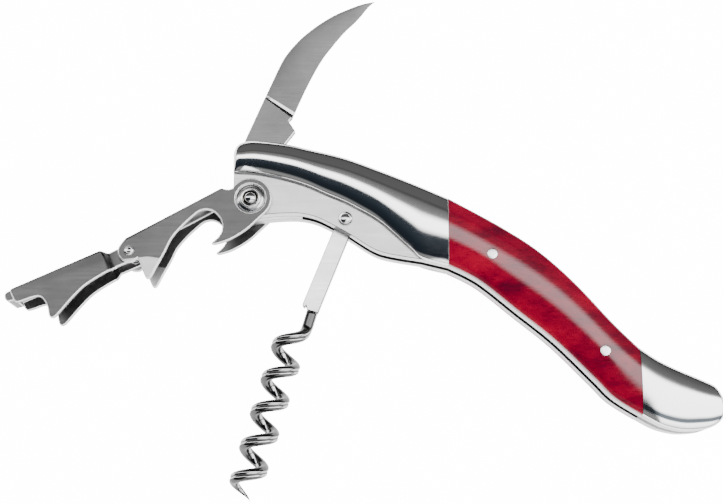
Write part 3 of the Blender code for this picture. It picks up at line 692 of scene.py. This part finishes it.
def claw_planes():
    """The planes above the claw of the first step, round its painted highlight, as places and downward
    normals.
    """
    place = placement(JOINTS["lever_swing"], LEVER_ANGLE)
    line = [place @ (Vector((x, y, 0.0)) * MM) for x, y in CLAW_LINE]
    return [(a, (b - a).cross(Vector((0.0, 0.0, 1.0))).normalized()) for a, b in zip(line, line[1:])]


def build_upper_lever():
    place = placement(JOINTS["lever_swing"], LEVER_ANGLE)
    ear = arc((0.0, 0.0), 4.6, -74, 122, 60)
    outline = (ear + LEVER_NECK + [(KNEE[0] + 0.6, LEVER_WEB_TOP)] + arc(KNEE, 2.5, 125, 262, 24)
               + LEVER_UNDERSIDE[:2] + smooth(LEVER_UNDERSIDE[2:] + CROWN_NOTCH, 4)
               + smooth(LEVER_CHIN, 4))
    holes = [ring((0.0, 0.0), 3.25), ring(KNEE, KNEE_HOLE)]
    made = channel("upper_lever_channel", outline, holes, (-4.8, KNEE[0] + 3.2), LEVER_WEB_TOP, place,
                   looks["claw"])
    round_edges(made, 0.26, rim=True)
    finish_piece(made, "first_step", "upper_lever")


def build_lower_lever():
    place = placement(JOINTS["knee_fold"], STEP_ANGLE)
    outline = (arc((0.0, 0.0), 1.9, -96, 95, 24) + STEP_TOP + smooth(STEP_UNDERSIDE, 4)[::-1]
               + [(-4.2, -1.85)])
    made = channel("lower_lever_channel", outline, [ring((0.0, 0.0), KNEE_HOLE)], (-6.0, -29.0),
                   STEP_WEB_TOP, Matrix.Identity(4), looks["lever"])
    lip = [(STEP_END + 0.2, STEP_WEB_TOP), *smooth(LIP_END, 4), (STEP_END + 0.2, 0.45)]
    cut(made, new_object("lip", plate_mesh([lip], -LIP_FACE, LIP_FACE), [looks["lever"]],
                         Matrix.Identity(4)), "UNION")
    body = bmesh.new()
    body.from_mesh(made.data)
    # The plates bend inwards ahead of the knee, to go between the first step's plates.
    bend_start, bend_end, bend_cuts = -4.2, -5.7, 6
    for step in range(bend_cuts + 1):
        x = (bend_start + (bend_end - bend_start) * step / bend_cuts) * MM
        geometry = body.verts[:] + body.edges[:] + body.faces[:]
        bmesh.ops.bisect_plane(body, geom=geometry, plane_co=(x, 0.0, 0.0), plane_no=(1.0, 0.0, 0.0))
    for vertex in body.verts:
        t = min(1.0, max(0.0, (vertex.co.x / MM - bend_end) / (bend_start - bend_end)))
        inwards = t * t * (3 - 2 * t) * (LEVER_PLATE + 0.1) * MM
        vertex.co.z -= math.copysign(inwards, vertex.co.z)
    body.to_mesh(made.data)
    body.free()
    made.data.transform(place)
    made.data.shade_smooth()
    round_edges(made, 0.24, angle=40.0, rim=True)
    finish_piece(made, "second_step", "lower_lever")


def build_lever_rivets():
    place = placement(JOINTS["lever_swing"], 0.0)
    face = LEVER_OUTER
    highest = level("lever_rivet", 1)
    head = dome(1.25, face + 0.35, highest - face - 0.35, 10)
    head += [(1.4, face + 0.1), (1.5, face - 0.1), (1.5, face - 0.3)]
    made = turned("lever_rivet_body", both_sides(head), looks["rivet"], place)
    finish_piece(made, "lever_hub", "lever_rivet")
    for node, side in (("left_lever_washer", 1), ("right_lever_washer", -1)):
        dish = [(1.6, 0.1), (1.75, 0.32), (2.0, 0.4), (2.2, 0.3), (2.3, 0.05), (2.4, -0.3), (2.7, -0.42),
                (2.95, -0.25), (3.12, 0.02), (3.2, 0.06), (3.22, -0.1), (3.2, -0.9), (1.6, -0.9)]
        profile = [(radius, side * (face + height)) for radius, height in dish]
        made = turned(node + "_dish", profile + profile[:1], looks["rivet"], place)
        finish_piece(made, "lever_hub", node)
    place = placement(JOINTS["knee_fold"], 0.0)
    highest = level("knee_rivet", 1)
    head = [(0.0, highest - 0.16), (0.35, highest - 0.1), (0.6, highest - 0.02), (0.8, highest - 0.03),
            (1.0, highest - 0.16), (1.12, highest - 0.4), (1.15, face + 0.02), (0.8, face + 0.02)]
    made = turned("knee_rivet_body", both_sides(head), looks["rivet"], place)
    finish_piece(made, "first_step", "knee_rivet")


# Worm

def build_worm():
    place = placement(JOINTS["worm_fold"], WORM_ANGLE)
    outline = arc((0.0, 0.0), 1.95, -8, 188, 32) + SHANK_FOOT
    body = plate_mesh([outline, ring((0.0, 0.0), 1.05)], -1.0, 1.0)
    # The shank's rims get painted shade.
    made = new_object("worm_shank_plate", body, [looks["shank"], looks["outline"]], place)
    round_edges(made, 0.16, rim=True)
    finish_piece(made, "worm", "worm_shank")
    made = sweep_wire("worm_wire_helix", place)
    finish_piece(made, "worm", "worm_wire")


def helix_line():
    """The wire's centre line, from the shank down the helix: place and share of the full wire."""
    line = [(Vector((HELIX_AXIS + HELIX_RADIUS, HELIX_START, 0.0)), 1.0)]
    for step in range(round((HELIX_TURNS + WIRE_EASE) * STEPS_PER_TURN) + 1):
        turn = step / STEPS_PER_TURN - WIRE_EASE
        angle = 2 * math.pi * ((turn + WIRE_EASE) ** 2 / (4 * WIRE_EASE) if turn < WIRE_EASE else turn)
        taper = min(1.0, (HELIX_TURNS - turn) / 0.5)
        reach = HELIX_RADIUS * (0.8 + 0.2 * taper)
        line.append((Vector((HELIX_AXIS + reach * math.cos(angle),
                             HELIX_START - WIRE_LEAD - HELIX_PITCH * turn,
                             reach * math.sin(angle))), max(0.05, taper)))
    lead_in = [(line[0][0].lerp(line[1][0], i / 6), 1.0) for i in range(1, 6)]
    return [line[0], *lead_in, *line[1:]]


def sweep_wire(name, place):
    """A wire swept down the helix, with a shallow groove along its outer side between two ridges. The
    ridges and a line along its inner side get painted highlights, and the groove and flanks painted
    shade."""
    line = helix_line()
    sides, depth, width = 40, 0.24, 0.3
    # Bands of angle from the outer side: painted shade in the groove, painted highlights on the ridges
    # and beyond inner_start, painted shade on the flanks between.
    groove_end, ridge_end, inner_start = 0.17, 0.5, 2.9
    body = bmesh.new()
    rows = []
    for index, (point, share) in enumerate(line):
        before = line[max(0, index - 1)][0]
        after = line[min(len(line) - 1, index + 1)][0]
        tangent = (after - before).normalized()
        outward = Vector((point.x - HELIX_AXIS, 0.0, point.z)).normalized()
        outward = (outward - tangent * outward.dot(tangent)).normalized()
        across = tangent.cross(outward)
        grooved = min(1.0, max(0.0, (index - 6) / 12))
        row = []
        for side in range(sides):
            angle = 2 * math.pi * side / sides
            away = math.atan2(math.sin(angle), math.cos(angle))
            reach = WIRE_RADIUS * share * (1 - depth * grooved * math.exp(-(away / width) ** 2))
            spoke = outward * math.cos(angle) + across * math.sin(angle)
            row.append(body.verts.new(point + spoke * reach))
        rows.append(row)
    for first, second in zip(rows, rows[1:]):
        for i in range(sides):
            j = (i + 1) % sides
            face = body.faces.new((first[i], first[j], second[j], second[i]))
            away = abs(math.remainder(2 * math.pi * (i + 0.5) / sides, 2 * math.pi))
            bright = away < ridge_end or away > inner_start
            face.material_index = 1 if away < groove_end else 2 if bright else 0
    body.faces.new(rows[0])
    body.faces.new(rows[-1])
    return new_object(name, body, [looks["worm"], looks["groove"], looks["ridge"]], place)


# Stage

# How bright the floor is to the pieces, and to the camera.
FLOOR_GLOW = (1.8, 14.0)


def add_stage():
    mesh = bpy.data.meshes.new("floor")
    body = bmesh.new()
    bmesh.ops.create_grid(body, x_segments=1, y_segments=1, size=3.0)
    body.to_mesh(mesh)
    body.free()
    floor = bpy.data.objects.new("floor", mesh)
    bpy.context.scene.collection.objects.link(floor)
    nodes = Nodes("pale_floor")
    nodes.shader.inputs["Base Color"].default_value = (0.9, 0.9, 0.9, 1.0)
    nodes.shader.inputs["Roughness"].default_value = 0.9
    nodes.shader.inputs["Specular IOR Level"].default_value = 0.0
    nodes.shader.inputs["Emission Color"].default_value = (1.0, 1.0, 1.0, 1.0)
    seen = nodes.add("ShaderNodeLightPath").outputs["Is Camera Ray"]
    nodes.link(nodes.span(seen, *FLOOR_GLOW), nodes.shader.inputs["Emission Strength"])
    mesh.materials.append(nodes.material)


# What the studio shows at each height of direction along Y, for the front of the handle and for
# its tail: (Y of the direction, radiance, tint of blue).
FRONT_STUDIO = [(-1.0, 0.35, 1.0), (-0.66, 0.3, 1.0), (-0.56, 0.12, 1.1), (-0.5, 0.02, 1.3),
                (-0.2, 0.025, 1.4), (0.1, 0.05, 1.3), (0.17, 5.0, 1.0), (0.3, 5.5, 1.0),
                (0.38, 0.32, 1.0), (0.5, 0.2, 1.0), (0.545, 0.08, 1.0), (0.6, 0.13, 1.0),
                (1.0, 0.12, 1.0)]
TAIL_STUDIO = [(-1.0, 2.0, 1.0), (-0.66, 4.5, 1.0), (-0.56, 4.5, 1.0), (-0.5, 0.35, 1.15),
               (-0.36, 0.3, 1.15), (-0.26, 5.0, 1.0), (0.3, 5.5, 1.0), (0.38, 0.5, 1.0),
               (0.44, 0.2, 1.0), (0.7, 0.12, 1.0), (1.0, 0.12, 1.0)]
STUDIO_PEAK = 6.0
# The two mix over a band of direction X, slanted by direction Y. Both dim towards the horizon,
# over a band of direction Z.
TAIL_BAND = (0.10, 0.14)
TAIL_SLANT = -0.4
HORIZON_BAND = (0.15, 0.45)
HORIZON_SHARE = 0.25


def studio_ramp(tree, height, stops):
    ramp = tree.nodes.new("ShaderNodeValToRGB")
    tree.links.new(height, ramp.inputs["Fac"])
    elements = ramp.color_ramp.elements
    for index, (y, radiance, blue) in enumerate(stops):
        element = elements[index] if index < 2 else elements.new(1.0)
        element.position = (y + 1) / 2
        shade = radiance / STUDIO_PEAK
        element.color = (shade / blue, shade, shade * blue, 1.0)
    return ramp.outputs["Color"]


def add_world():
    """A plain studio: one bright overhead band with dark sides, wider towards the tail, and
    dimmer near the horizon."""
    world = bpy.data.worlds.new("studio")
    bpy.context.scene.world = world
    world.use_nodes = True
    tree = world.node_tree
    coordinates = tree.nodes.new("ShaderNodeTexCoord")
    split = tree.nodes.new("ShaderNodeSeparateXYZ")
    tree.links.new(coordinates.outputs["Generated"], split.inputs["Vector"])
    height = tree.nodes.new("ShaderNodeMapRange")
    height.inputs["From Min"].default_value = -1.0
    tree.links.new(split.outputs["Y"], height.inputs["Value"])
    slanted = tree.nodes.new("ShaderNodeMath")
    slanted.operation = "MULTIPLY_ADD"
    slanted.inputs[1].default_value = TAIL_SLANT
    tree.links.new(split.outputs["Y"], slanted.inputs[0])
    tree.links.new(split.outputs["X"], slanted.inputs[2])
    towards_tail = tree.nodes.new("ShaderNodeMapRange")
    towards_tail.inputs["From Min"].default_value = TAIL_BAND[0]
    towards_tail.inputs["From Max"].default_value = TAIL_BAND[1]
    tree.links.new(slanted.outputs[0], towards_tail.inputs["Value"])
    mix = tree.nodes.new("ShaderNodeMix")
    mix.data_type = "RGBA"
    tree.links.new(towards_tail.outputs["Result"], mix.inputs["Factor"])
    tree.links.new(studio_ramp(tree, height.outputs["Result"], FRONT_STUDIO), mix.inputs["A"])
    tree.links.new(studio_ramp(tree, height.outputs["Result"], TAIL_STUDIO), mix.inputs["B"])
    dimmed = tree.nodes.new("ShaderNodeMapRange")
    dimmed.inputs["From Min"].default_value = HORIZON_BAND[0]
    dimmed.inputs["From Max"].default_value = HORIZON_BAND[1]
    dimmed.inputs["To Min"].default_value = HORIZON_SHARE * STUDIO_PEAK
    dimmed.inputs["To Max"].default_value = STUDIO_PEAK
    tree.links.new(split.outputs["Z"], dimmed.inputs["Value"])
    tree.links.new(mix.outputs["Result"], tree.nodes["Background"].inputs["Color"])
    tree.links.new(dimmed.outputs["Result"], tree.nodes["Background"].inputs["Strength"])


CAMERA_PLACE = (24.2, -76.2, 272.3)
CAMERA_TILT = 13.5
CAMERA_LENS = 63.4


def add_camera():
    """The camera looks down at the corkscrew, tilted a little towards its underside."""
    data = bpy.data.cameras.new("camera")
    data.lens = CAMERA_LENS
    data.sensor_width = 36.0
    data.clip_start = 0.01
    camera = bpy.data.objects.new("camera", data)
    bpy.context.scene.collection.objects.link(camera)
    camera.location = ORIGIN + Vector(CAMERA_PLACE) * MM
    camera.rotation_euler = (math.radians(CAMERA_TILT), 0.0, 0.0)
    bpy.context.scene.camera = camera


def dress_cad_nodes():
    """Materials on the CAD nodes that stay."""
    for node, look in (("back_spring", "spring"), ("tail_spacer", "spring"), ("front_spacer", "liner"),
                       ("frame_pin", "pin"), ("blade_pivot_pin", "pin"), ("lever_bush", "bush")):
        mesh = frame["nodes"][node].data
        mesh.materials.clear()
        mesh.materials.append(looks[look])


looks = {
    "liner": brushed_steel("liner_steel", 0.55, 0.3, -25.0, 0.06),
    "bolster": polished_steel("bolster_steel", 0.82, 0.07),
    "scale": red_bone("red_bone"),
    "spring": brushed_steel("spring_steel", 0.08, 0.4),
    "slot": brushed_steel("slot_shade", 0.03, 0.5),
    "pin": polished_steel("pin_steel", 1.0, 0.3),
    "rivet": polished_steel("rivet_steel", 0.55, 0.12),
    "bush": brass("bush_brass"),
    # A painted highlight for the blade tang's rims.
    "edge": polished_steel("painted_highlight_edge", 0.95, 0.16),
    "blade": brushed_steel("blade_steel", 0.12, 0.3, 150.0, 0.08),
    "tang": brushed_steel("tang_steel", 0.155, 0.28, 150.0, 0.05),
    # A painted highlight along the blade's plunge line.
    "plunge": polished_steel("plunge_painted_highlight", 0.6, 0.2),
    "lever": brushed_steel("lever_nickel", 0.09, 0.32, 30.0, 0.05),
    # The claw's nickel, with a painted highlight below the claw line.
    "claw": brushed_steel("claw_nickel_painted_highlight", 0.09, 0.32, 30.0, 0.05, painted_highlight_patch=(0.5, claw_planes())),
    # A painted highlight for the levers' rims.
    "rim": polished_steel("lever_rim_painted_highlight", 0.95, 0.5),
    # Painted shade for the rims of the liners and the worm's shank.
    "outline": polished_steel("painted_shade_edge", 0.05, 0.3),
    "shank": brushed_steel("shank_steel", 0.85, 0.3, 70.0, 0.05),
    # The worm wire's flanks and groove get painted shade, and its ridges and inner side a painted
    # highlight.
    "worm": polished_steel("worm_steel", 0.075, 0.12),
    "ridge": polished_steel("worm_ridge_painted_highlight", 0.45, 0.1),
    "groove": polished_steel("worm_groove_painted_shade", 0.08, 0.3),
}
build_pads()
build_liners()
build_pins()
build_blade()
build_upper_lever()
build_lower_lever()
build_lever_rivets()
build_worm()
dress_cad_nodes()
add_stage()
add_world()
add_camera()
